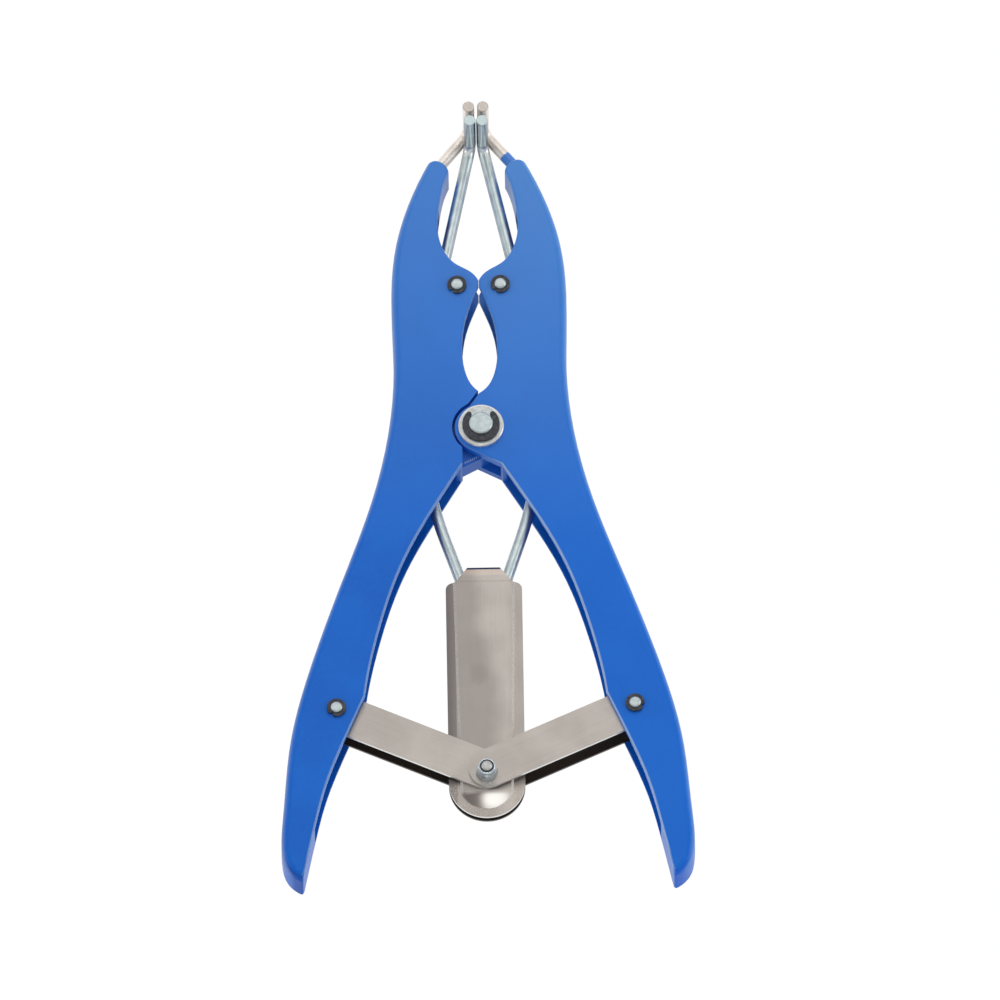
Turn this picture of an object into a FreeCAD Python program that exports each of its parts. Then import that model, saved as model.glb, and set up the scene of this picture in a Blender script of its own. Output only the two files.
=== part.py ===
import FreeCAD, Part
import Sketcher
import math
import os
from FreeCAD import Placement, Rotation, Vector

# Band-stretching pliers for livestock, lying on its back.
# X runs to the right, Y from the handles towards the prongs, Z up out of the resting plane.
# The main pivot axis stands on the origin. All sizes are in millimetres.

doc = FreeCAD.newDocument("elastrator_pliers")
sheet = doc.addObject("Spreadsheet::Sheet", "sizes")
size_list = [
    # cast halves
    ("casting_depth", 11.0),
    ("channel_gap", 8.1),
    ("web_thickness", 1.45),
    ("outer_round", 2.0),
    ("edge_round", 0.6),
    ("ear_gap", 0.05),
    ("ear_radius", 6.8),
    ("ear_clearance", 0.65),
    # main pivot
    ("pivot_radius", 3.0),
    ("pivot_head_radius", 6.0),
    ("head_thickness", 1.5),
    ("pivot_neck_depth", 0.7),
    ("pivot_end_length", 0.85),
    ("washer_radius", 5.9),
    ("washer_thickness", 1.25),
    ("pivot_clip_radius", 4.8),
    ("pivot_clip_thickness", 0.7),
    ("running_fit", 0.05),
    # small pins through the jaws and through the handles
    ("pin_radius", 1.45),
    ("pin_neck_depth", 0.4),
    ("pin_head_radius", 2.7),
    ("pin_end_length", 0.6),
    ("clip_radius", 2.45),
    ("clip_thickness", 0.6),
    ("guide_x", 5.55),
    ("guide_y", 40.3),
    ("guide_sleeve_radius", 2.35),
    ("handle_pin_x", 38.3),
    ("handle_pin_y", -79.25),
    ("spacer_radius", 2.6),
    # flat links
    ("bolt_y", -97.4),
    ("link_half_width", 5.3),
    ("link_thickness", 0.8),
    ("inner_link_offset", 2.28),
    ("outer_link_offset", 3.13),
    ("link_slot_travel", 1.3),
    # bracket
    ("bracket_half_depth", 2.23),
    ("plate_thickness", 0.7),
    ("margin_half_depth", 1.45),
    ("bracket_half_width", 9.8),
    ("bolt_radius", 1.4),
    ("bolt_head_radius", 2.6),
    ("bolt_head_thickness", 1.9),
    ("nut_half_width", 2.5),
    ("nut_height", 3.8),
    # round rods that carry the prongs
    ("rod_radius", 1.5),
    ("prong_height", 16.3),
    ("rod_end_x", 3.2),
    ("rod_end_y", -49.0),
]
for row, (name, number) in enumerate(size_list, start=1):
    sheet.set("A%d" % row, name)
    sheet.set("B%d" % row, str(number))
    sheet.setAlias("B%d" % row, name)
doc.recompute()

# height of the middle plane: the halves lie on the heads of their pins
last_row = len(size_list) + 1
sheet.set("A%d" % last_row, "mid_height")
sheet.set("B%d" % last_row, "=head_thickness + casting_depth / 2")
sheet.setAlias("B%d" % last_row, "mid_height")
doc.recompute()

sizes = dict(size_list)
sizes["mid_height"] = sizes["head_thickness"] + sizes["casting_depth"] / 2
mid = sizes["mid_height"]
nodes = {}


def keep(node, item):
    item.Label = node
    nodes[node] = item


def place(item, x="0", y="0", z="0"):
    for axis, text in zip("xyz", (x, y, z)):
        item.setExpression("Placement.Base." + axis, text)


def cylinder(name, radius, height, x="0", y="0", z="0"):
    item = doc.addObject("Part::Cylinder", name)
    item.setExpression("Radius", radius)
    item.setExpression("Height", height)
    place(item, x, y, z)
    return item


def join(name, items):
    item = doc.addObject("Part::MultiFuse", name)
    item.Shapes = items
    item.Refine = True
    return item


def cut(name, base, tool):
    item = doc.addObject("Part::Cut", name)
    item.Base = base
    item.Tool = tool
    item.Refine = True
    return item


def tube(name, outer, inner, height, x, y, z):
    solid = cylinder(name + "_outside", outer, height, x, y, z)
    bore = cylinder(name + "_bore", inner, height, x, y, z)
    return cut(name, solid, bore)


def chosen_edges(shape, wanted):
    return [number for number, edge in enumerate(shape.Edges, start=1) if wanted(edge)]


def soften(name, kind, base, amount, wanted):
    doc.recompute()
    item = doc.addObject(kind, name)
    item.Base = base
    item.Edges = [(number, amount, amount) for number in chosen_edges(base.Shape, wanted)]
    return item


def round_at(height, radius=None):
    # picks full circles at a given height
    def wanted(edge):
        if not isinstance(edge.Curve, Part.Circle):
            return False
        if abs(edge.Curve.Center.z - height) > 1e-3:
            return False
        return radius is None or abs(edge.Curve.Radius - radius) < 1e-3
    return wanted


def plane_sketch(body, name, height, role="XY_Plane"):
    sketch = body.newObject("Sketcher::SketchObject", name)
    plane = [item for item in body.Origin.OriginFeatures if item.Role == role][0]
    sketch.AttachmentSupport = [(plane, "")]
    sketch.MapMode = "FlatFace"
    sketch.setExpression("AttachmentOffset.Base.z", height)
    return sketch


def add_lines(sketch, points):
    for (ax, ay), (bx, by) in zip(points, points[1:]):
        sketch.addGeometry(Part.LineSegment(Vector(ax, ay, 0), Vector(bx, by, 0)), False)


def add_arc(sketch, start, middle, end):
    a, b, c = [Vector(x, y, 0) for x, y in (start, middle, end)]
    sketch.addGeometry(Part.Arc(a, b, c), False)


def curve_through(points):
    spline = Part.BSplineCurve()
    spline.interpolate([Vector(x, y, 0) for x, y in points])
    return spline


def add_circle(sketch, x, y, radius, text):
    # a circle whose radius follows a cell of the sheet
    number = sketch.addGeometry(Part.Circle(Vector(x, y, 0), Vector(0, 0, 1), radius), False)
    index = sketch.addConstraint(Sketcher.Constraint("Radius", number, radius))
    sketch.addConstraint(Sketcher.Constraint("DistanceX", -1, 1, number, 3, x))
    sketch.addConstraint(Sketcher.Constraint("DistanceY", -1, 1, number, 3, y))
    sketch.setExpression("Constraints[%d]" % index, text)


def pad(body, name, sketch, length):
    item = body.newObject("PartDesign::Pad", name)
    item.Profile = sketch
    item.setExpression("Length", length)
    sketch.Visibility = False
    return item


def pocket(body, name, sketch, length=None):
    item = body.newObject("PartDesign::Pocket", name)
    item.Profile = sketch
    if length is None:
        item.Type = "ThroughAll"
    else:
        item.setExpression("Length", length)
    sketch.Visibility = False
    return item


# Cast halves.
# The left half is drawn; the right half is its mirror image apart from the ears.

outer_edge = [(-12.6, 75.4), (-17.5, 64.7), (-20.9, 53.3), (-22.45, 38.0), (-22.2, 16.0),
              (-23.9, -1.0), (-28.6, -20.5), (-36.7, -43.3), (-44.6, -66.0), (-50.4, -88.7),
              (-52.4, -108.0), (-52.8, -120.5), (-52.1, -123.4), (-50.5, -125.8), (-47.6, -127.7)]
lower_inner_edge = [(-47.6, -127.7), (-46.4, -122.0), (-44.3, -112.6), (-41.4, -101.3),
                    (-37.5, -90.8), (-31.0, -75.8)]
upper_inner_edge = [(-31.0, -75.8), (-29.4, -66.6), (-26.8, -56.0), (-23.4, -45.0),
                    (-18.8, -34.0), (-12.5, -22.6), (-5.0, -10.3)]
almond_edge = [(0.3, 9.9), (-2.3, 12.4), (-3.5, 15.0), (-4.5, 22.5), (-4.2, 27.0), (-3.3, 31.5),
               (-1.4, 36.8), (-0.05, 40.2)]
mouth_edge = [(-0.05, 41.9), (-2.2, 44.5), (-6.05, 46.9), (-9.3, 51.8), (-10.3, 57.0),
              (-9.8, 63.2), (-8.5, 69.4), (-7.2, 72.6)]
tip_edge = [(-7.2, 72.6), (-7.9, 74.5), (-9.0, 75.5), (-10.8, 76.0), (-12.6, 75.4)]


def casting(node, side):
    # side is 1 for the left half and -1 for the right half
    def turned(points):
        return [(side * x, y) for x, y in points]

    body = doc.addObject("PartDesign::Body", node + "_body")
    outline = plane_sketch(body, node + "_outline", "sizes.mid_height - sizes.casting_depth / 2")
    ear = sizes["ear_radius"]
    lean = math.radians(-67)
    reach = math.radians(64)
    ear_low = (ear * math.cos(lean), ear * math.sin(lean))
    ear_top = (ear * math.cos(reach), ear * math.sin(reach))
    for points in (outer_edge, lower_inner_edge, upper_inner_edge, almond_edge, mouth_edge,
                   tip_edge):
        outline.addGeometry(curve_through(turned(points)), False)
    add_lines(outline, turned([upper_inner_edge[-1], ear_low]))
    add_arc(outline, *turned([ear_low, (ear, 0), ear_top]))
    add_lines(outline, turned([ear_top, almond_edge[0]]))
    add_lines(outline, turned([almond_edge[-1], mouth_edge[0]]))
    blank = pad(body, node + "_blank", outline, "sizes.casting_depth")
    doc.recompute()

    # rounded front and rear edges: wide along the outer side, narrow elsewhere
    outer_line = curve_through(turned(outer_edge)).toShape()

    def rim_edge(edge, along_outer):
        box = edge.BoundBox
        if box.ZLength > 1e-6 or edge.Length < 1.5:
            return False
        spot = edge.valueAt((edge.FirstParameter + edge.LastParameter) / 2)
        spot.z = 0
        return (outer_line.distToShape(Part.Vertex(spot))[0] < 0.01) == along_outer
    before = blank
    for word, along_outer, radius in (("wide", True, "outer_round"), ("narrow", False, "edge_round")):
        names = ["Edge%d" % number for number in
                 chosen_edges(before.Shape, lambda edge: rim_edge(edge, along_outer))]
        rounding = body.newObject("PartDesign::Fillet", "%s_%s_rounding" % (node, word))
        rounding.Base = (before, names)
        rounding.setExpression("Radius", "sizes." + radius)
        doc.recompute()
        before = rounding

    # the channel along the inner side, closed by a web along the outer side
    web = sizes["web_thickness"]
    outer = curve_through(outer_edge)
    first = outer.parameter(Vector(-18.2, 63.0, 0))
    last = outer.parameter(Vector(-52.6, -113.4, 0))
    inside = []
    for step in range(15):
        spot = first + (last - first) * step / 14
        along = outer.tangent(spot)[0]
        point = outer.value(spot)
        inside.append((point.x - along.y * web, point.y + along.x * web))
    channel = plane_sketch(body, node + "_channel_line", "sizes.mid_height + sizes.channel_gap / 2")
    channel.addGeometry(curve_through(turned(inside)), False)
    add_lines(channel, turned([inside[-1], (-40, -112.6), (-25, -80), (-10, -40), (0, -11.0),
                               (-6.5, -11.0), (-12.3, -7.0), (-12.3, 12.7), (3, 12.7), (3, 63),
                               inside[0]]))
    pocket(body, node + "_channel", channel, "sizes.channel_gap")

    # the left half has one ear in the middle, the right half has an ear at the front and the rear
    radius = ear + sizes["ear_clearance"]
    fall = math.sqrt(radius * radius - 4.9 * 4.9)
    rise = (-radius * math.cos(reach), radius * math.sin(reach))
    run = (almond_edge[0][0] - ear_top[0], almond_edge[0][1] - ear_top[1])
    past = (rise[0] - 1.4 * run[0], rise[1] + 1.4 * run[1])
    quarter = "sizes.casting_depth / 4"
    if side > 0:
        deep = quarter + " + 0.2 + sizes.ear_gap"
        layers = [("sizes.mid_height + 2 * " + quarter + " + 0.2", deep),
                  ("sizes.mid_height - " + quarter + " + sizes.ear_gap", deep)]
    else:
        layers = [("sizes.mid_height + " + quarter + " + sizes.ear_gap",
                   "2 * " + quarter + " + 2 * sizes.ear_gap")]
    for number, (top, deep) in enumerate(layers, start=1):
        relief = plane_sketch(body, "%s_relief_line_%d" % (node, number), top)
        add_arc(relief, *turned([rise, (-radius, 0), (-4.9, -fall)]))
        add_lines(relief, turned([(-4.9, -fall), (-4.9, -14), (14, -14), (14, past[1]), past, rise]))
        pocket(body, "%s_relief_%d" % (node, number), relief, deep)

    bores = plane_sketch(body, node + "_bore_line", "sizes.mid_height + sizes.casting_depth")
    add_circle(bores, 0, 0, 3.05, "sizes.pivot_radius + sizes.running_fit")
    add_circle(bores, -side * sizes["guide_x"], sizes["guide_y"], 1.5,
               "sizes.pin_radius + sizes.running_fit")
    add_circle(bores, -side * sizes["handle_pin_x"], sizes["handle_pin_y"], 1.5,
               "sizes.pin_radius + sizes.running_fit")
    pocket(body, node + "_bores", bores)

    # blind socket in the jaw tip for the fixed rod
    socket = body.newObject("PartDesign::SubtractiveCylinder", node + "_socket")
    socket.setExpression("Radius", "sizes.rod_radius + sizes.running_fit")
    socket.Height = 12
    low = Vector(-side * 11.75, 66.3, mid)
    high = Vector(-side * 9.7, 76.4, mid)
    socket.Placement = Placement(low, Rotation(Vector(0, 0, 1), high - low))
    doc.recompute()
    keep(node, body)


casting("left_handle", 1)
casting("right_handle", -1)


# Main pivot: a headed pin, a flat washer and a retaining clip that opens towards the prongs.

def headed_pin(name, head, thick, shank, neck, grip, clip, end, x="0", y="0"):
    parts = [
        cylinder(name + "_head", head, thick, x, y),
        cylinder(name + "_shank", shank, grip, x, y),
        cylinder(name + "_neck", neck, "(%s) + (%s)" % (grip, clip), x, y),
        cylinder(name + "_end", shank, end, x, y, "(%s) + (%s)" % (grip, clip)),
    ]
    whole = join(name + "_whole", parts)
    doc.recompute()
    tall = whole.Shape.BoundBox.ZMax

    def rims(edge):
        low = round_at(0.0)(edge)
        high = round_at(tall)(edge)
        return low or high
    return soften(name + "_rimmed", "Part::Chamfer", whole, 0.3, rims)


def retaining_clip(name, outer, neck, thickness, x, y, z, opening, half_gap, rise=0.0):
    # flat ring with a gap and rounded ends, thinner towards the ends where its hole sits off centre
    body = doc.addObject("PartDesign::Body", name + "_body")
    sketch = plane_sketch(body, name + "_line", z)
    inner = neck + 0.05 + rise
    turn = math.radians(opening - 90)

    def spot(radius, angle):
        return (radius * math.cos(angle + turn), radius * math.sin(angle + turn))

    def hole(angle):
        lift = rise * math.sin(angle)
        aside = rise * math.cos(angle)
        return lift + math.sqrt(inner * inner - aside * aside)
    ends = [math.radians(90 + half_gap), math.radians(450 - half_gap)]
    low = math.radians(270)
    add_arc(sketch, spot(outer, ends[0]), spot(outer, low), spot(outer, ends[1]))
    add_arc(sketch, spot(hole(ends[0]), ends[0]), spot(hole(low), low), spot(hole(ends[1]), ends[1]))
    for angle, way in ((ends[0], -1), (ends[1], 1)):
        cx, cy = spot((outer + hole(angle)) / 2, angle)
        half = (outer - hole(angle)) / 2
        far = (cx - way * half * math.sin(angle + turn), cy + way * half * math.cos(angle + turn))
        add_arc(sketch, spot(outer, angle), far, spot(hole(angle), angle))
    pad(body, name + "_sheet", sketch, thickness)
    place(body, x, y)
    return body


front = "sizes.mid_height + sizes.casting_depth / 2"
grip = front + " + sizes.running_fit + sizes.washer_thickness"
keep("pivot_pin", headed_pin("pivot_pin", "sizes.pivot_head_radius",
                             "sizes.head_thickness - sizes.running_fit", "sizes.pivot_radius",
                             "sizes.pivot_radius - sizes.pivot_neck_depth", grip, "sizes.pivot_clip_thickness",
                             "sizes.pivot_end_length"))
washer = tube("pivot_washer_blank", "sizes.washer_radius",
              "sizes.pivot_radius + 2 * sizes.running_fit", "sizes.washer_thickness", "0", "0",
              front + " + sizes.running_fit")
doc.recompute()
washer_top = washer.Shape.BoundBox.ZMax
keep("pivot_washer", soften("pivot_washer_round", "Part::Fillet", washer, 0.5,
                            round_at(washer_top, sizes["washer_radius"])))
keep("pivot_clip", retaining_clip("pivot_clip", sizes["pivot_clip_radius"],
                                  sizes["pivot_radius"] - sizes["pivot_neck_depth"],
                                  "sizes.pivot_clip_thickness", "0", "0", grip, 90, 47, 0.7))

# Small pins with clips: one through each jaw, one through each handle.

small_grip = front + " + 2 * sizes.running_fit"
for word, sign in (("left", "-1"), ("right", "1")):
    link_opening = 235 if word == "left" else 340
    for role, px, py, opening, half_gap in (
            ("guide", "sizes.guide_x", "sizes.guide_y", 232, 25),
            ("link", "sizes.handle_pin_x", "sizes.handle_pin_y", link_opening, 25)):
        px = sign + " * " + px
        name = "%s_%s_pin" % (word, role)
        keep(name, headed_pin(name, "sizes.pin_head_radius", "sizes.head_thickness", "sizes.pin_radius",
                              "sizes.pin_radius - sizes.pin_neck_depth", small_grip, "sizes.clip_thickness",
                              "sizes.pin_end_length", px, py))
        name = "%s_%s_clip" % (word, role)
        keep(name, retaining_clip(name, sizes["clip_radius"],
                                  sizes["pin_radius"] - sizes["pin_neck_depth"],
                                  "sizes.clip_thickness", px, py, small_grip, opening, half_gap))
    # sleeve that keeps the jaw walls apart and backs the sliding rod
    keep(word + "_guide_sleeve",
         tube(word + "_guide_sleeve", "sizes.guide_sleeve_radius",
              "sizes.pin_radius + sizes.running_fit", "sizes.channel_gap - 2 * sizes.running_fit",
              sign + " * sizes.guide_x", "sizes.guide_y",
              "sizes.mid_height - sizes.channel_gap / 2 + sizes.running_fit"))
    # sleeve that keeps the two links of a pair apart on the handle pin
    offset = "sizes.inner_link_offset" if word == "left" else "sizes.outer_link_offset"
    keep(word + "_link_spacer",
         tube(word + "_link_spacer", "sizes.spacer_radius", "sizes.pin_radius + sizes.running_fit",
              "2 * %s - 2 * sizes.running_fit" % offset, sign + " * sizes.handle_pin_x",
              "sizes.handle_pin_y", "sizes.mid_height - %s + sizes.running_fit" % offset))


# Flat links with round ends, two to each side.
# The right pair has an oblong hole at the handle pin, which takes up the play of the linkage.

bolt = (0.0, sizes["bolt_y"])
for word, side in (("left", -1), ("right", 1)):
    pin = (side * sizes["handle_pin_x"], sizes["handle_pin_y"])
    length = math.hypot(pin[0] - bolt[0], pin[1] - bolt[1])
    along = ((pin[0] - bolt[0]) / length, (pin[1] - bolt[1]) / length)
    across = (-along[1], along[0])
    wide = sizes["link_half_width"]
    offset = "sizes.inner_link_offset" if word == "left" else "sizes.outer_link_offset"
    for place_word, base in (("front", "sizes.mid_height + " + offset),
                             ("rear", "sizes.mid_height - %s - sizes.link_thickness" % offset)):
        node = "%s_link_%s" % (word, place_word)
        body = doc.addObject("PartDesign::Body", node + "_body")
        line = plane_sketch(body, node + "_line", base)

        # the sheet reaches a little past its holes on the upper side
        def at(point, forward, upward):
            return (point[0] + along[0] * forward + side * across[0] * upward,
                    point[1] + along[1] * forward + side * across[1] * upward)
        near = at(bolt, 1.1, 0.95)
        far = at(pin, 0, 0.25)
        span = math.hypot(far[0] - near[0], far[1] - near[1])
        fx, fy = (far[0] - near[0]) / span * wide, (far[1] - near[1]) / span * wide
        add_lines(line, [(near[0] - fy, near[1] + fx), (far[0] - fy, far[1] + fx)])
        add_lines(line, [(near[0] + fy, near[1] - fx), (far[0] + fy, far[1] - fx)])
        add_arc(line, (far[0] - fy, far[1] + fx), (far[0] + fx, far[1] + fy),
                (far[0] + fy, far[1] - fx))
        add_arc(line, (near[0] - fy, near[1] + fx), (near[0] - fx, near[1] - fy),
                (near[0] + fy, near[1] - fx))
        add_circle(line, bolt[0], bolt[1], 1.55, "sizes.bolt_radius + sizes.running_fit")
        if word == "left":
            add_circle(line, pin[0], pin[1], 1.5, "sizes.pin_radius + sizes.running_fit")
        else:
            play = sizes["link_slot_travel"]
            hole = sizes["pin_radius"] + 0.2
            way = (math.cos(math.radians(168.4)), math.sin(math.radians(168.4)))
            side_way = (-way[1], way[0])

            def slot(forward, sideways):
                return (pin[0] + way[0] * forward + side_way[0] * sideways,
                        pin[1] + way[1] * forward + side_way[1] * sideways)
            add_lines(line, [slot(0, hole), slot(play, hole)])
            add_lines(line, [slot(0, -hole), slot(play, -hole)])
            add_arc(line, slot(0, hole), slot(-hole, 0), slot(0, -hole))
            add_arc(line, slot(play, hole), slot(play + hole, 0), slot(play, -hole))
        pad(body, node + "_sheet", line, "sizes.link_thickness")
        doc.recompute()
        keep(node, body)


# Bracket: two pressed plates facing each other around the rod ends.

half_wide = sizes["bracket_half_width"]
lowest = -108.9
corner_y = lowest + half_wide
shoulder = -42.3


def plate_outline(sketch):
    add_lines(sketch, [(-half_wide, corner_y), (-half_wide, shoulder - 2)])
    add_arc(sketch, (-half_wide, shoulder - 2), (-half_wide + 0.586, shoulder - 0.586),
            (-half_wide + 2, shoulder))
    add_lines(sketch, [(-half_wide + 2, shoulder), (half_wide - 2, shoulder)])
    add_arc(sketch, (half_wide - 2, shoulder), (half_wide - 0.586, shoulder - 0.586),
            (half_wide, shoulder - 2))
    add_lines(sketch, [(half_wide, shoulder - 2), (half_wide, corner_y)])
    add_arc(sketch, (-half_wide, corner_y), (0, lowest), (half_wide, corner_y))


def rise_outline(sketch, shrink, top, bottom):
    # the raised middle of a plate, a little wider at the top, with a shallow round lower end
    wide_top = half_wide - 1.85 - shrink
    wide_low = half_wide - 2.95 - shrink
    low = max(-101.8, bottom + 2)
    add_lines(sketch, [(-wide_low, low), (-wide_top, top), (wide_top, top), (wide_low, low)])
    add_arc(sketch, (-wide_low, low), (0, bottom), (wide_low, low))


for node, sign in (("bracket_front_plate", 1), ("bracket_rear_plate", -1)):
    def level(text, thick):
        # height of the lower side of a layer that starts this far from the middle plane
        if sign > 0:
            return "sizes.mid_height + (%s)" % text
        return "sizes.mid_height - (%s) - (%s)" % (text, thick)

    body = doc.addObject("PartDesign::Body", node + "_body")
    thin = "sizes.plate_thickness"
    margin = "sizes.margin_half_depth - sizes.plate_thickness"
    rim = plane_sketch(body, node + "_rim_line", level(margin, thin))
    plate_outline(rim)
    pad(body, node + "_rim", rim, thin)
    # raised middle with sloping folded sides, cut level with the shoulder at its top
    word = "+" if sign > 0 else "-"
    swell = plane_sketch(body, node + "_rise_line",
                         "sizes.mid_height %s sizes.margin_half_depth" % word)
    rise_outline(swell, 0, shoulder + 1.3, -106.6)
    raised = pad(body, node + "_rise", swell, "sizes.bracket_half_depth - sizes.margin_half_depth")
    raised.Reversed = sign < 0
    raised.TaperAngle = -40
    level_top = plane_sketch(body, node + "_level_line", "sizes.mid_height + 5")
    add_lines(level_top, [(-half_wide, shoulder), (half_wide, shoulder), (half_wide, -40),
                          (-half_wide, -40), (-half_wide, shoulder)])
    pocket(body, node + "_level", level_top)

    # the lower end of the raised middle slopes down to the rim in a half moon
    high = mid + sign * sizes["bracket_half_depth"]
    low = mid + sign * sizes["margin_half_depth"]
    scoop = plane_sketch(body, node + "_scoop_line", "-sizes.bracket_half_width", "YZ_Plane")
    add_lines(scoop, [(-101.5, high), (-107.1, low), (-112, low), (-112, high + sign),
                      (-101.5, high + sign), (-101.5, high)])
    scooped = pocket(body, node + "_scoop", scoop, "2 * sizes.bracket_half_width")
    scooped.Reversed = True
    doc.recompute()

    hollow_top = level(margin, thin)
    if sign > 0:
        hollow_top = "sizes.mid_height + sizes.bracket_half_depth - sizes.plate_thickness"
    else:
        hollow_top = "sizes.mid_height - (%s) + 0.01" % margin
    hollow_deep = "sizes.bracket_half_depth - sizes.plate_thickness - (%s) + 0.01" % margin
    hollow = plane_sketch(body, node + "_hollow_line", hollow_top)
    rise_outline(hollow, sizes["plate_thickness"] - 0.3, shoulder + 1, -102.8)
    pocket(body, node + "_hollow", hollow, hollow_deep)

    # top tab, bent towards the middle plane between the rods
    tab = plane_sketch(body, node + "_tab_line", "2.6 - sizes.bracket_half_width", "YZ_Plane")
    thick = sizes["plate_thickness"]
    outside = [(shoulder - 0.4, high), (-40.6, high), (-38.35, high - sign * 0.15)]
    within = [(-38.4, high - sign * (0.15 + thick)), (-40.65, high - sign * thick),
              (shoulder - 0.4, high - sign * thick)]
    add_lines(tab, outside + within + outside[:1])
    pad(body, node + "_tab", tab, "2 * (sizes.bracket_half_width - 2.6)")

    # the sides of the tab slope in towards its top
    trim = plane_sketch(body, node + "_tab_trim_line", "sizes.mid_height + 5")
    for turn in (-1, 1):
        corners = [(half_wide - 5.9, -38.0), (half_wide - 2.6, -42.25), (half_wide, -42.25),
                   (half_wide, -38.0), (half_wide - 5.9, -38.0)]
        add_lines(trim, [(turn * x, y) for x, y in corners])
    pocket(body, node + "_tab_trim", trim)

    holes = plane_sketch(body, node + "_hole_line", "sizes.mid_height + 5")
    add_circle(holes, 0, sizes["bolt_y"], 1.55, "sizes.bolt_radius + sizes.running_fit")
    if sign < 0:
        for x in (-sizes["rod_end_x"], sizes["rod_end_x"]):
            add_circle(holes, x, sizes["rod_end_y"], 1.6,
                       "sizes.rod_radius + 2 * sizes.running_fit")
    pocket(body, node + "_holes", holes)
    doc.recompute()
    keep(node, body)

gap = "2 * (sizes.bracket_half_depth - sizes.plate_thickness)"
inner_face = "sizes.mid_height - sizes.bracket_half_depth + sizes.plate_thickness"
keep("bracket_spacer", tube("bracket_spacer", "2.6", "sizes.bolt_radius + sizes.running_fit", gap,
                            "0", "sizes.bolt_y", inner_face))
keep("bracket_stud", cylinder("bracket_stud", "1.8", gap, "0", "-68.5", inner_face))

# Bolt with a round socket head at the rear and a lock nut at the front.

stack = "(sizes.outer_link_offset + sizes.link_thickness + sizes.running_fit)"
head = cylinder("bolt_head", "sizes.bolt_head_radius", "sizes.bolt_head_thickness", "0",
                "sizes.bolt_y", "sizes.mid_height - %s - sizes.bolt_head_thickness" % stack)
shank = cylinder("bolt_shank", "sizes.bolt_radius", "2 * %s + sizes.nut_height + 0.6" % stack, "0",
                 "sizes.bolt_y", "sizes.mid_height - " + stack)
socket = doc.addObject("Part::Prism", "bolt_socket")
socket.Polygon = 6
socket.Circumradius = 1.15
socket.Height = 1.1
place(socket, "0", "sizes.bolt_y", "sizes.mid_height - %s - sizes.bolt_head_thickness" % stack)
whole = cut("bolt_whole", join("bolt_fused", [head, shank]), socket)
doc.recompute()
bolt_box = whole.Shape.BoundBox


def bolt_rims(edge):
    low = round_at(bolt_box.ZMin, sizes["bolt_head_radius"])(edge)
    high = round_at(bolt_box.ZMax)(edge)
    return low or high


keep("bracket_bolt", soften("bolt_rimmed", "Part::Chamfer", whole, 0.35, bolt_rims))

nut_base = "sizes.mid_height + " + stack
hexagon = doc.addObject("Part::Prism", "nut_hexagon")
hexagon.Polygon = 6
hexagon.setExpression("Circumradius", "sizes.nut_half_width / cos(30 deg)")
hexagon.setExpression("Height", "sizes.nut_height * 0.66")
place(hexagon, "0", "sizes.bolt_y", nut_base)
hexagon.Placement.Rotation = Rotation(Vector(0, 0, 1), 12)
dome = doc.addObject("Part::Cone", "nut_dome")
dome.setExpression("Radius1", "sizes.nut_half_width * 1.16")
dome.setExpression("Radius2", "sizes.nut_half_width * 0.98")
dome.setExpression("Height", "sizes.nut_height * 0.66")
place(dome, "0", "sizes.bolt_y", nut_base)
flats = doc.addObject("Part::MultiCommon", "nut_flats")
flats.Shapes = [hexagon, dome]
collar = cylinder("nut_collar", "sizes.nut_half_width * 0.9", "sizes.nut_height", "0",
                  "sizes.bolt_y", nut_base)
nut_solid = join("nut_solid", [flats, collar])
nut_bore = cylinder("nut_bore", "sizes.bolt_radius + 0.02", "sizes.nut_height", "0",
                    "sizes.bolt_y", nut_base)
nut_seat = cylinder("nut_seat", "sizes.bolt_radius + 0.42", "1.1", "0", "sizes.bolt_y",
                    nut_base + " + sizes.nut_height - 1.0")
nut_hollow = join("nut_hollow", [nut_bore, nut_seat])
nut = cut("nut_whole", nut_solid, nut_hollow)
doc.recompute()
nut_top = nut.Shape.BoundBox.ZMax
keep("bracket_nut", soften("nut_rounded", "Part::Fillet", nut, 0.3,
                           round_at(nut_top, sizes["nut_half_width"] * 0.9)))
keep("nut_insert", tube("nut_insert", "sizes.bolt_radius + 0.4", "sizes.bolt_radius + 0.03", "0.8",
                        "0", "sizes.bolt_y", nut_base + " + sizes.nut_height - 0.98"))


# Round rods. Each path is a chain of straight lines with rounded corners.

def rounded_path(corners, radii):
    edges = []
    start = corners[0]
    for before, corner, after, radius in zip(corners, corners[1:], corners[2:], radii):
        into = (corner - before).normalize()
        away = (after - corner).normalize()
        turn = into.getAngle(away)
        reach = radius * math.tan(turn / 2)
        a = corner - into * reach
        b = corner + away * reach
        aside = (away - into).normalize()
        middle = corner + aside * (radius / math.cos(turn / 2) - radius)
        edges.append(Part.LineSegment(start, a).toShape())
        edges.append(Part.Arc(a, middle, b).toShape())
        start = b
    edges.append(Part.LineSegment(start, corners[-1]).toShape())
    return Part.Wire(edges)


def rod(node, corners, radii):
    path = doc.addObject("Part::Feature", node + "_path")
    path.Shape = rounded_path(corners, radii)
    ring = doc.addObject("Part::Circle", node + "_ring")
    ring.setExpression("Radius", "sizes.rod_radius")
    ring.Placement = Placement(corners[0], Rotation(Vector(0, 0, 1), corners[1] - corners[0]))
    sweep = doc.addObject("Part::Sweep", node + "_bar")
    sweep.Sections = [ring]
    sweep.Spine = (path, ["Edge%d" % number for number in range(1, len(path.Shape.Edges) + 1)])
    sweep.Solid = True
    sweep.Frenet = False
    doc.recompute()
    tip_height = corners[-1].z
    return soften(node + "_rounded", "Part::Fillet", sweep, 0.2, round_at(tip_height))


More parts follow.
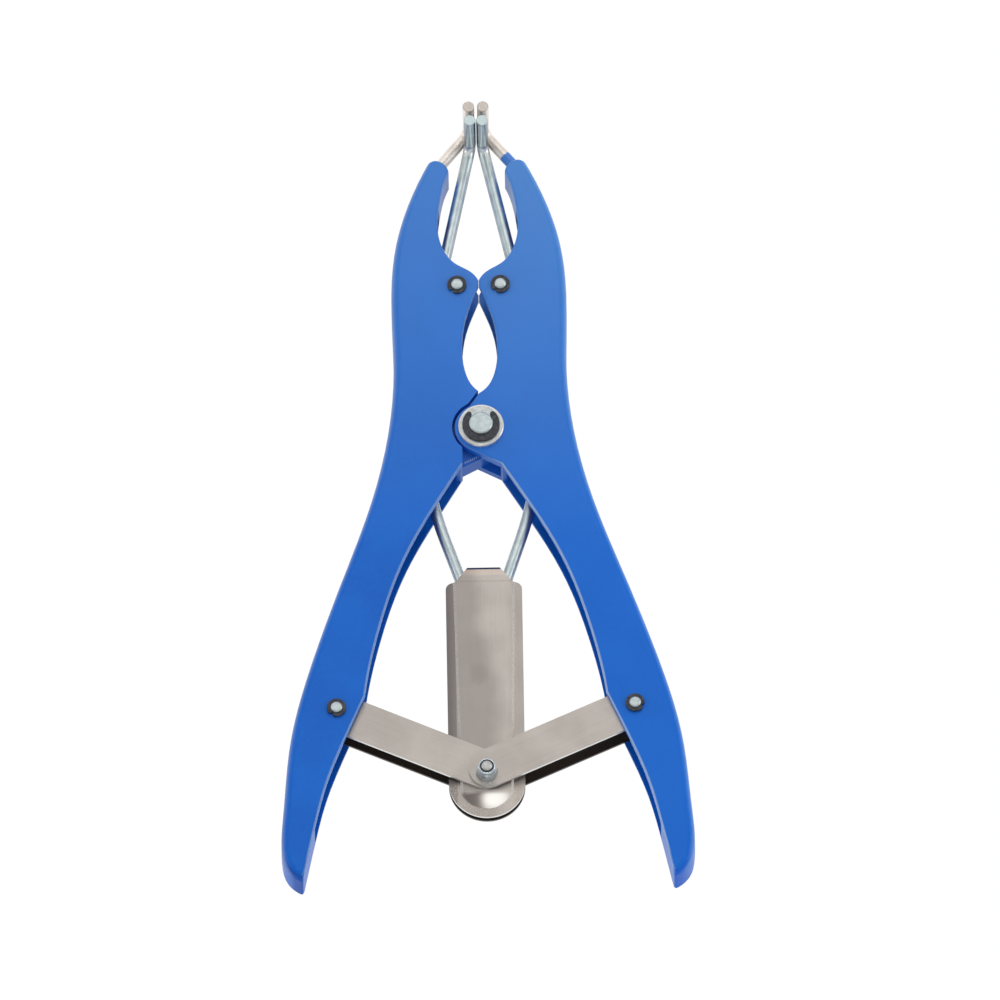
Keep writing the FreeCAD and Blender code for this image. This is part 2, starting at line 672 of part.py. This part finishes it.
prong_top = mid + sizes["prong_height"]
for word, side in (("left", -1), ("right", 1)):
    plate_back = mid - sizes["bracket_half_depth"]
    corners = [
        Vector(side * sizes["rod_end_x"], sizes["rod_end_y"], plate_back),
        Vector(side * sizes["rod_end_x"], sizes["rod_end_y"], mid),
        Vector(side * 19.5, 0, mid),
        Vector(side * 1.58, 82.0, mid),
        Vector(side * 1.58, 82.0, prong_top),
    ]
    keep(word + "_sliding_prong", rod(word + "_sliding_prong", corners, [1.7, 115.0, 2.6]))
    corners = [
        Vector(side * 11.65, 66.6, mid),
        Vector(side * 9.7, 76.35, mid),
        Vector(side * 1.85, 85.9, mid),
        Vector(side * 1.85, 85.9, prong_top),
    ]
    keep(word + "_fixed_prong", rod(word + "_fixed_prong", corners, [3.0, 2.6]))

doc.recompute()
os.makedirs("parts", exist_ok=True)
for node, item in nodes.items():
    shape = item.Shape
    state = [word for word in item.State if word in ("Invalid", "Error")]
    if state or shape.isNull() or not shape.isValid() or len(shape.Solids) != 1:
        raise RuntimeError("%s is not one sound solid" % node)
    shape.exportStep("parts/%s.step" % node)
for item in doc.Objects:
    if "Invalid" in item.State or "Error" in item.State:
        raise RuntimeError("%s did not compute" % item.Label)
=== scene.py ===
import math

import bpy
from mathutils import Matrix, Vector

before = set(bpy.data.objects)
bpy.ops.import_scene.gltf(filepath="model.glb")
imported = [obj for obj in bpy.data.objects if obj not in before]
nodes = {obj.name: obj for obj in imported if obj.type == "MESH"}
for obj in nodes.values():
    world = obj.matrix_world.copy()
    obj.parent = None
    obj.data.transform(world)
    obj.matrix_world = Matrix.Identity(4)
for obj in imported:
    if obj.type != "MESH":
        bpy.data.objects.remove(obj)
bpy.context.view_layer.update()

# Places on the pliers, in millimetres. X is to the right, Y towards the prongs and Z to the front.
MAIN_PIVOT = (0.0, 0.0)
GUIDE_PIN = (5.55, 40.3)
HANDLE_PIN = (38.3, -79.25)
BOLT = (0.0, -97.4)
HANDLE_END_Y = -124.0
JAW_TIP_Y = 75.0
TAB_END_Y = -38.35
TAB_FOLD_Y = -42.25

# Heights, in millimetres.
MID_HEIGHT = 7.0
CASTING_FRONT = 12.5
EAR_FRONT = 9.7
ROD_FRONT = 8.5
PRONG_TOP = 23.3
MARGIN_FRONT = 8.45
REAR_MARGIN_BACK = 5.55
LEFT_REAR_LINK_BACK = 3.92
RIGHT_REAR_LINK_BACK = 3.07

# Radius at which the painted highlight on the washer's rim begins, in millimetres.
WASHER_HIGHLIGHT_RADIUS = 5.3
# Angle between a link and X at rest, in degrees.
LINK_ANGLE = 25.4


class Value:
    """A number or colour inside a finish. Sums of these read like plain sums."""

    def __init__(self, shading, socket):
        self.shading = shading
        self.socket = socket

    def __add__(self, other):
        return self.shading.math("ADD", self, other)

    def __radd__(self, other):
        return self.shading.math("ADD", other, self)

    def __sub__(self, other):
        return self.shading.math("SUBTRACT", self, other)

    def __rsub__(self, other):
        return self.shading.math("SUBTRACT", other, self)

    def __mul__(self, other):
        return self.shading.math("MULTIPLY", self, other)

    def __rmul__(self, other):
        return self.shading.math("MULTIPLY", other, self)

    def __truediv__(self, other):
        return self.shading.math("DIVIDE", self, other)

    def __abs__(self):
        return self.shading.math("ABSOLUTE", self)

    def sine(self):
        return self.shading.math("SINE", self)


class Shading:
    """A node tree, with short ways to add to it."""

    def __init__(self, tree):
        self.tree = tree

    def feed(self, socket, value):
        if isinstance(value, Value):
            self.tree.links.new(value.socket, socket)
        else:
            socket.default_value = value

    def node(self, kind, settings=None, inputs=None, output=0):
        """Adds a node, with its settings first and then its inputs, and gives one output."""
        made = self.tree.nodes.new(kind)
        for key, value in (settings or {}).items():
            setattr(made, key, value)
        for key, value in (inputs or {}).items():
            self.feed(made.inputs[key], value)
        return Value(self, made.outputs[output]) if len(made.outputs) else None

    def math(self, operation, *values):
        return self.node("ShaderNodeMath", {"operation": operation}, dict(enumerate(values)))

    def parts(self, vector):
        """The three numbers of a vector."""
        first = self.node("ShaderNodeSeparateXYZ", None, {0: vector})
        return [Value(self, socket) for socket in first.socket.node.outputs]


class Finish(Shading):
    """One procedural material. Places inside it are in millimetres of the part's own frame."""

    def __init__(self, name):
        self.material = bpy.data.materials.new(name)
        self.material.use_nodes = True
        super().__init__(self.material.node_tree)
        self.shader = next(n for n in self.tree.nodes if n.type == "BSDF_PRINCIPLED")
        metres = self.node("ShaderNodeTexCoord", output="Object")
        self.place = self.node("ShaderNodeVectorMath", {"operation": "SCALE"},
                               {"Vector": metres, "Scale": 1000.0})
        self.x, self.y, self.z = self.parts(self.place)
        # how the surface faces: to the side, and to the front or the rear
        facing = self.parts(self.node("ShaderNodeNewGeometry", output="Normal"))
        self.turned_x = facing[0]
        self.aside = abs(facing[0])
        self.level = abs(facing[2])

    def point(self, x, y, z):
        return self.node("ShaderNodeCombineXYZ", None, {0: x, 1: y, 2: z})

    def noise(self, scale, detail=3.0, place=None, roughness=0.5):
        """Cloudy pattern about 0.5, with features about 1 / scale millimetres wide."""
        return self.node("ShaderNodeTexNoise", None, {
            "Vector": place or self.place, "Scale": scale, "Detail": detail,
            "Roughness": roughness})

    def ramp(self, value, low, high):
        """0 below low, 1 above high, straight between."""
        return self.node("ShaderNodeMapRange", None, {
            "Value": value, "From Min": low, "From Max": high})

    def step(self, value, low, high):
        """0 below low, 1 above high, smooth between."""
        return self.node("ShaderNodeMapRange", {"interpolation_type": "SMOOTHSTEP"}, {
            "Value": value, "From Min": low, "From Max": high})

    def fall(self, value, low, high):
        """1 below low, 0 above high, smooth between."""
        return 1.0 - self.step(value, low, high)

    def within(self, value, low, high, border):
        """1 from low to high, and down to 0 over a border outside them."""
        return self.step(value, low - border, low) * self.fall(value, high, high + border)

    def oval(self, centre, half_width, half_height):
        """0 at the centre, 1 on an oval of this size, and more outside it."""
        across = (self.x - centre[0]) / half_width
        along = (self.y - centre[1]) / half_height
        return across * across + along * along

    def mix(self, share, first, second):
        return self.node("ShaderNodeMix", {"data_type": "RGBA"},
                         {"Factor": share, 6: first, 7: second}, output=2)

    def bump(self, height, depth, strength=1.0):
        """A surface height whose full range is depth millimetres."""
        return self.node("ShaderNodeBump", None, {
            "Height": height, "Distance": depth / 1000, "Strength": strength})

    def set(self, **values):
        for key, value in values.items():
            self.feed(self.shader.inputs[key.replace("_", " ")], value)
        return self.material


def colour(red, green, blue):
    """A linear colour from the three numbers that a picture shows, 0 to 255."""
    def linear(number):
        part = number / 255
        return part / 12.92 if part <= 0.04045 else ((part + 0.055) / 1.055) ** 2.4
    return (linear(red), linear(green), linear(blue), 1.0)


def blue_paint():
    """Glossy stove enamel with a faint orange peel and slight clouding."""
    f = Finish("blue_enamel")
    # painted light: the right half takes the lighter, more lit copies of the blues below
    lit_right_half = f.step(f.x, -3.0, 3.0)
    cloud = f.noise(0.06)
    fine = f.noise(1.4, 2.0)
    base = f.mix(f.step(cloud, 0.3, 0.7), colour(3, 104, 214), colour(8, 112, 224))
    base = f.mix(f.step(fine, 0.35, 0.65) * 0.12, base, colour(34, 128, 228))
    # painted light: the blue grows lighter towards the right
    base = f.mix(f.step(f.x, -25.0, 25.0) * 0.3, base, colour(14, 122, 240))

    # painted sheen: a little paler towards the jaws, where light glances off the paint
    jaw_sheen_blue = f.mix(f.step(f.x, -6.0, 6.0), colour(82, 147, 226), colour(96, 158, 228))
    base = f.mix(f.ramp(f.y, -35.0, JAW_TIP_Y) * 0.66, base, jaw_sheen_blue)

    # painted highlight: paler on the rounded edges, where they catch the light, except across the
    # ends of the handles
    edge_sheen = f.step(f.level, 0.05, 0.3) * f.fall(f.level, 0.4, 0.97)
    before_end = f.step(f.y, HANDLE_END_Y + 3.0, HANDLE_END_Y + 12.0)
    edge_sheen = edge_sheen * f.math("MAXIMUM", before_end, f.step(f.aside, 0.45, 0.65))
    edge_blue = f.mix(lit_right_half, colour(146, 168, 206), colour(122, 176, 236))
    base = f.mix(edge_sheen * 0.5, base, edge_blue)

    # the front inner edges below the main pivot catch the light
    inward = f.fall(f.turned_x * f.x, -2.5, -0.5) * f.fall(f.y, -9.0, -6.0)
    inward = inward * f.step(f.z, CASTING_FRONT - 1.5, CASTING_FRONT - 0.9)
    inward = inward * f.step(f.level, 0.1, 0.35) * f.fall(f.level, 0.9, 0.99)
    lit_blue = f.mix(lit_right_half, colour(140, 176, 226), colour(196, 218, 246))
    base = f.mix(inward * 0.6, base, lit_blue)

    # painted shade: deeper blue across the ends of the handles
    end_shade = f.fall(f.y, HANDLE_END_Y, HANDLE_END_Y + 7.0) * f.fall(f.level, 0.75, 0.98)
    end_shade = end_shade * f.fall(f.aside, 0.6, 0.8)
    end_blue = f.mix(lit_right_half, colour(0, 82, 186), colour(0, 102, 224))
    base = f.mix(end_shade * 0.8, base, end_blue)

    # painted shade: deeper blue on the recessed middle ear beside the main pivot, less on its
    # lower part, with a row of light dashes
    deep = f.within(f.z, EAR_FRONT - 0.1, EAR_FRONT + 0.1, 0.1) * f.step(f.level, 0.6, 0.9)
    base = f.mix(deep * (0.28 + 0.24 * f.step(f.y, -8.5, -4.5)), base, colour(4, 44, 112))
    off_row = f.y + 8.9 - (f.x + 4.5) * 0.48
    marks = f.fall(abs(off_row), 0.2, 0.4) * f.within(f.x, -4.4, -0.9, 0.2)
    marks = marks * f.step((f.x * 13.0).sine(), -0.2, 0.4)
    base = f.mix(deep * marks * 0.8, base, colour(176, 202, 234))

    coat = 0.08 + 0.13 * f.step(f.level, 0.1, 0.6) - 0.08 * end_shade
    return f.set(Base_Color=base, Roughness=0.34 + 0.1 * fine, Specular_IOR_Level=0.2,
                 Coat_Weight=coat, Coat_Roughness=0.14,
                 Normal=f.bump(f.noise(0.9, 2.0), 0.03, 0.5))


def brushed_sheet(name, angle, shade_above=None, pressed=False):
    """Cold rolled sheet with fine lines that run at this angle to X, in degrees.

    Above the shade height the sheet is painted dark brown as shade, where another sheet covers it.
    The pressed sheet is the front of the bracket, with painted shade on its left side and a
    polished lower end that has a painted glare.
    """
    f = Finish(name)
    turn = math.radians(angle)
    along = f.x * math.cos(turn) + f.y * math.sin(turn)
    across = f.y * math.cos(turn) - f.x * math.sin(turn)
    lines = f.noise(1.0, 4.0, f.point(along * 0.05, across * 6.0, f.z * 0.3), 0.65)
    cloud = f.noise(0.09)
    base = f.mix(f.step(cloud, 0.3, 0.7), colour(182, 174, 167), colour(196, 188, 181))
    base = f.mix(f.step(lines, 0.35, 0.7) * 0.3, base, colour(212, 206, 199))
    metal = 0.85
    rough = 0.36 + 0.1 * lines
    height = lines * 0.0028

    if pressed:
        sway = f.noise(0.12, 2.0)
        # shade on the left, with a slanting border near the tab
        border = f.step(f.y, -76.0, -47.0) * -5.0 + 4.0
        shade = f.fall(f.x + 4.0 * sway - border, -1.5, 3.5)
        base = f.mix(shade * 0.62, base, colour(150, 142, 138))
        # painted shade on the low margins beside the raised middle, darkest on the left
        left_margin_shade = f.fall(f.x, -7.7, -7.4) * (0.6 + 0.22 * f.fall(f.x, -9.6, -7.6))
        base = f.mix(left_margin_shade, base, colour(108, 102, 100))
        base = f.mix(f.step(f.x, 5.5, 8.5) * 0.35, base, colour(150, 143, 136))
        # painted highlight: the folds between them are lighter in speckles, where they catch the
        # light
        fold = f.within(f.level, 0.5, 0.8, 0.1)
        fold_highlight = fold * f.step(f.noise(2.2), 0.2, 0.5)
        fold_highlight_steel = f.mix(f.step(f.x, -1.0, 1.0), colour(224, 217, 209), colour(236, 226, 214))
        base = f.mix(fold_highlight * 0.95, base, fold_highlight_steel)
        metal = metal - 0.8 * fold
        # a faint broad darker patch over the stud
        stud_patch_centre = (-1.7, -68.3)
        stud_patch = f.fall(f.oval(stud_patch_centre, 3.0, 3.8) + 0.9 * (sway - 0.5), -0.2, 1.1)
        base = f.mix(stud_patch * 0.2, base, colour(112, 104, 102))
        # painted shade along the tab's crease and on its rounded-over end; the tab is also warm
        # towards its end
        crease_shade = f.fall(abs(f.y - TAB_FOLD_Y), 0.08, 0.3) * f.step(lines, 0.3, 0.6)
        base = f.mix(crease_shade * 0.3, base, colour(116, 104, 94))
        warm = f.step(f.y, TAB_FOLD_Y + 1.25, TAB_FOLD_Y + 2.75)
        base = f.mix(warm * 0.22, base, colour(212, 176, 152))
        tab_end_shade = f.step(f.y, TAB_END_Y - 0.6, TAB_END_Y - 0.45)
        base = f.mix(tab_end_shade, base, colour(44, 54, 84))
        # the half moon that slopes down from the raised middle is polished and a little hollow,
        # with a painted glare and a painted dark reflection on its left
        above_margin = f.step(f.z, MARGIN_FRONT + 0.02, MARGIN_FRONT + 0.07)
        slope = above_margin * f.fall(f.y, -103.0, -101.6)
        hollow = (2.1, -103.8)
        height = height + slope * 0.008 * (f.x - hollow[0]) * (f.x - hollow[0])
        rough = rough - 0.05 * slope
        glare = f.fall(f.oval(hollow, 4.4, 3.6), 0.0, 1.3)
        base = f.mix(slope * glare * 0.9, base, colour(255, 252, 246))
        dark_reflection = slope * f.fall(f.x + 2.0 * sway, -3.2, 1.0)
        base = f.mix(dark_reflection * 0.75, base, colour(92, 85, 80))
        # the rim round it is speckled
        rim = f.fall(f.y, -100.6, -99.0) * (1.0 - above_margin)
        base = f.mix(rim * f.step(f.noise(4.0), 0.4, 0.65) * 0.45, base, colour(230, 220, 206))

    # painted highlight: bright cut edges, where they catch the light
    base = f.mix(f.fall(f.level, 0.25, 0.6) * 0.75, base, colour(244, 246, 246))
    if shade_above is not None:
        # painted shade where another sheet covers this one
        covered_shade = f.step(f.z, shade_above, shade_above + 0.2)
        base = f.mix(covered_shade * 0.92, base, colour(60, 50, 44))
    return f.set(Base_Color=base, Metallic=metal, Roughness=rough,
                 Normal=f.bump(height, 1.0))


def plated_rod(name, first, second, dark, rough, end, zinc=False, painted_foot=False):
    """Round bar with drawn lines, painted shade on its flanks and a sheared end.

    A zinc bar has painted shade in dark lines along its sides and on its mottled upright, and a
    painted glint on its bend.
    A painted foot is where the bar meets the jaw.
    """
    f = Finish(name)
    cloud = f.noise(0.35)
    fine = f.noise(1.0, 3.0, f.point(f.x * 4.0, f.y * 0.25, f.z * 4.0), 0.6)
    base = f.mix(f.step(cloud, 0.3, 0.7), first, second)
    upright = f.step(f.z, ROD_FRONT + 0.1, ROD_FRONT + 2.5)
    # painted shade: the flanks are darker, where they face away from the light
    flank_shade = f.fall(f.level, 0.08, 0.44) * (1.0 - upright)
    gloss = rough + 0.1 * fine
    metal = 1.0
    if zinc:
        base = f.mix(flank_shade * 0.92, base, dark)
        metal = metal - 0.5 * flank_shade
        # painted shade: the upright is darker, and darker still on its sides
        base = f.mix(upright * 0.4, base, colour(120, 142, 150))
        base = f.mix(upright * f.step(f.aside, 0.5, 0.9) * 0.7, base, dark)
        gloss = gloss - 0.12 * upright
        # painted glint on the bend
        bend_glint = f.step(f.z, ROD_FRONT - 0.6, ROD_FRONT - 0.1) * f.step(f.y, 78.5, 79.2)
        bend_glint = bend_glint * f.fall(f.z, ROD_FRONT + 0.3, ROD_FRONT + 1.3)
        base = f.mix(bend_glint * 0.8, base, colour(252, 254, 254))
    else:
        base = f.mix(flank_shade * 0.35, base, dark)
    top = f.step(f.z, PRONG_TOP - 0.3, PRONG_TOP - 0.15)
    speck = f.step(f.noise(4.0), 0.42, 0.66)
    base = f.mix(top, base, f.mix(speck * 0.6, end, first))
    if painted_foot:
        along_rod = 0.76 * f.y - 0.65 * f.x
        paint = f.fall(along_rod + 0.9 * f.noise(1.1, 2.0), 55.9, 56.2)
        base = f.mix(paint, base, colour(72, 138, 226))
        gloss = gloss * (1.0 - paint) + 0.3 * paint
        metal = 1.0 - paint
    return f.set(Base_Color=base, Metallic=metal, Roughness=gloss,
                 Normal=f.bump(fine, 0.005, 0.3))


def turned_steel(name, tone, rough, centres, rim=None):
    """Turned pin or washer. Faint tool rings run round each centre, and the rim has a painted
    highlight.
    """
    f = Finish(name)
    cloud = f.noise(0.8)
    nearest = None
    for x, y in centres:
        away = f.math("SQRT", (f.x - x) * (f.x - x) + (f.y - y) * (f.y - y))
        nearest = away if nearest is None else f.math("MINIMUM", nearest, away)
    rings = f.noise(1.0, 3.0, f.point(nearest * 7.0, 0.0, f.z * 0.4), 0.6)
    base = f.mix(f.step(cloud, 0.3, 0.7) * 0.5, tone, colour(226, 230, 232))
    if rim is not None:
        # painted highlight on the rim
        base = f.mix(f.step(nearest, rim, rim + 0.3), base, colour(238, 233, 228))
    return f.set(Base_Color=base, Metallic=0.85, Roughness=rough + 0.14 * rings,
                 Normal=f.bump(rings, 0.012, 0.4))


def dark_clip():
    """Blackened spring steel, lighter in cloudy patches."""
    f = Finish("blackened_clip")
    cloud = f.noise(0.9)
    base = f.mix(f.step(cloud, 0.4, 0.7), colour(62, 65, 71), colour(88, 88, 92))
    return f.set(Base_Color=base, Metallic=0.7, Roughness=0.42 + 0.15 * cloud,
                 Normal=f.bump(f.noise(2.5, 2.0), 0.01, 0.5))


def nut_insert():
    """Dark nylon of the lock nut."""
    f = Finish("nut_insert_plastic")
    cloud = f.noise(2.0, 2.0)
    base = f.mix(cloud, colour(22, 30, 48), colour(44, 54, 74))
    return f.set(Base_Color=base, Roughness=0.4 + 0.2 * cloud)


# Each piece's finish.

pin_centres = [MAIN_PIVOT, BOLT]
for side in (-1, 1):
    pin_centres.append((side * GUIDE_PIN[0], GUIDE_PIN[1]))
    pin_centres.append((side * HANDLE_PIN[0], HANDLE_PIN[1]))

blue = blue_paint()
bright_rod = plated_rod("bright_rod", colour(204, 217, 218), colour(224, 235, 236),
                        colour(60, 76, 96), 0.38, colour(182, 196, 198), zinc=True)
grey_tones = {"first": colour(236, 226, 217), "second": colour(250, 242, 234),
              "dark": colour(112, 102, 95), "rough": 0.44, "end": colour(200, 191, 184)}
grey_left = plated_rod("dull_rod", **grey_tones)
grey_right = plated_rod("dull_rod_painted_foot", **grey_tones, painted_foot=True)
pins = turned_steel("turned_pin", colour(184, 198, 199), 0.32, pin_centres)
bolt_steel = turned_steel("bolt_steel", colour(186, 186, 180), 0.32, [BOLT])
washer = turned_steel("washer_steel", colour(182, 188, 187), 0.26, [MAIN_PIVOT], WASHER_HIGHLIGHT_RADIUS)
clip = dark_clip()
nut = turned_steel("zinc_nut", colour(206, 220, 226), 0.16, [BOLT])
insert = nut_insert()

front_plate = brushed_sheet("bracket_sheet", 90.0, pressed=True)
rear_plate = brushed_sheet("bracket_rear_sheet", 90.0, shade_above=REAR_MARGIN_BACK + 0.03)
left_link = brushed_sheet("left_link_sheet", -LINK_ANGLE)
right_link = brushed_sheet("right_link_sheet", LINK_ANGLE)
left_rear = brushed_sheet("left_rear_link_sheet", -LINK_ANGLE,
                          shade_above=LEFT_REAR_LINK_BACK + 0.08)
right_rear = brushed_sheet("right_rear_link_sheet", LINK_ANGLE,
                           shade_above=RIGHT_REAR_LINK_BACK + 0.08)

finish_of = {
    "pivot_pin": pins, "pivot_washer": washer, "pivot_clip": clip,
    "bracket_front_plate": front_plate, "bracket_rear_plate": rear_plate,
    "bracket_spacer": pins, "bracket_stud": pins, "bracket_bolt": bolt_steel,
    "bracket_nut": nut, "nut_insert": insert,
    "left_fixed_prong": grey_left, "right_fixed_prong": grey_right,
    "left_link_front": left_link, "left_link_rear": left_rear,
    "right_link_front": right_link, "right_link_rear": right_rear,
}
for word in ("left", "right"):
    finish_of[word + "_handle"] = blue
    finish_of[word + "_sliding_prong"] = bright_rod
    for role in ("guide_pin", "guide_sleeve", "link_pin", "link_spacer"):
        finish_of[word + "_" + role] = pins
    for role in ("guide_clip", "link_clip"):
        finish_of[word + "_" + role] = clip
for name, piece in nodes.items():
    piece.data.materials.clear()
    piece.data.materials.append(finish_of[name])


# Floor and surroundings. The camera and mirror-like faces see the floor as white.

# How far the floor lies under the lowest face, and half its width, are in metres.

FLOOR_GAP = 0.0006
FLOOR_REACH = 6.0
WHITE = (1.0, 1.0, 1.0, 1.0)

ground = bpy.data.materials.new("pale_floor")
ground.use_nodes = True
ground.node_tree.nodes.clear()
look = Shading(ground.node_tree)
matt = look.node("ShaderNodeBsdfDiffuse", None, {"Color": (0.86, 0.86, 0.86, 1.0)})
glow = look.node("ShaderNodeEmission", None, {"Color": WHITE, "Strength": 1.02})
seen = look.math("MAXIMUM", look.node("ShaderNodeLightPath", output="Is Camera Ray"),
                 look.node("ShaderNodeLightPath", output="Is Glossy Ray"))
look.node("ShaderNodeOutputMaterial", None, {
    "Surface": look.node("ShaderNodeMixShader", None, {0: seen, 1: matt, 2: glow})})

floor_mesh = bpy.data.meshes.new("floor")
corners = [(-1, -1), (1, -1), (1, 1), (-1, 1)]
floor_mesh.from_pydata([(x * FLOOR_REACH, y * FLOOR_REACH, 0) for x, y in corners], [],
                       [(0, 1, 2, 3)])
floor_mesh.materials.append(ground)
floor = bpy.data.objects.new("floor", floor_mesh)
bpy.context.scene.collection.objects.link(floor)
floor.location.z = -FLOOR_GAP

# the room is white at the horizon and dimmer overhead
world = bpy.data.worlds.new("studio")
bpy.context.scene.world = world
world.use_nodes = True
world.node_tree.nodes.clear()
room = Shading(world.node_tree)
upwards = room.parts(room.node("ShaderNodeTexCoord", output="Generated"))[2]
brightness = room.node("ShaderNodeMapRange", None, {
    "Value": upwards, "From Min": 0.0, "From Max": 0.8, "To Min": 0.95, "To Max": 0.34})
room.node("ShaderNodeOutputWorld", None, {
    "Surface": room.node("ShaderNodeBackground", None,
                         {"Color": WHITE, "Strength": brightness})})


# Lamps, placed and sized in metres, with their power in watts.

def soft_box(name, place, aim, width, height, power):
    lamp = bpy.data.lights.new(name, "AREA")
    lamp.shape = "RECTANGLE"
    lamp.size = width
    lamp.size_y = height
    lamp.energy = power
    item = bpy.data.objects.new(name, lamp)
    bpy.context.scene.collection.objects.link(item)
    item.location = place
    item.rotation_euler = (Vector(aim) - Vector(place)).to_track_quat("-Z", "Y").to_euler()


soft_box("far_side", (0.0, 0.92, 1.1), (0, 0.1, 0), 1.0, 0.7, 3.2)
soft_box("overhead", (0.05, 0.08, 1.25), (0, -0.05, 0), 0.3, 0.22, 0.9)
soft_box("camera_side", (0.0, -0.55, 1.15), (0, 0, 0), 0.12, 0.12, 0.5)
soft_box("left_side", (-1.1, 0.1, 0.5), (0, 0, 0), 0.5, 0.7, 1.2)
soft_box("right_side", (1.1, 0.1, 0.5), (0, 0, 0), 0.5, 0.7, 2.2)


# Camera. It has no perspective, and the main pivot isn't in the middle of the picture: the two
# distances between them are in pixels.

TILT = math.radians(64.5)
ROLL = 0.0172
PIXELS_PER_METRE = 3900.0
PICTURE_WIDTH = 1000
PIVOT_LEFT_OF_MIDDLE = 18.8
PIVOT_ABOVE_MIDDLE = 63.9
CAMERA_DISTANCE = 3.0

right = Vector((1, 0, 0))
up = Vector((0, math.sin(TILT), math.cos(TILT)))
back = right.cross(up)
across = right * math.cos(ROLL) - up * math.sin(ROLL)
upward = up * math.cos(ROLL) + right * math.sin(ROLL)
centre = Vector((0, 0, MID_HEIGHT / 1000))
centre += across * (PIVOT_LEFT_OF_MIDDLE / PIXELS_PER_METRE)
centre -= upward * (PIVOT_ABOVE_MIDDLE / PIXELS_PER_METRE)

lens = bpy.data.cameras.new("camera")
lens.type = "ORTHO"
lens.ortho_scale = PICTURE_WIDTH / PIXELS_PER_METRE
lens.clip_start = 0.1
lens.clip_end = 20.0
camera = bpy.data.objects.new("camera", lens)
scene = bpy.context.scene
scene.collection.objects.link(camera)
camera.location = centre + back * CAMERA_DISTANCE
camera.rotation_euler = Matrix((across, upward, back)).transposed().to_euler()
scene.camera = camera
scene.view_settings.view_transform = "Standard"
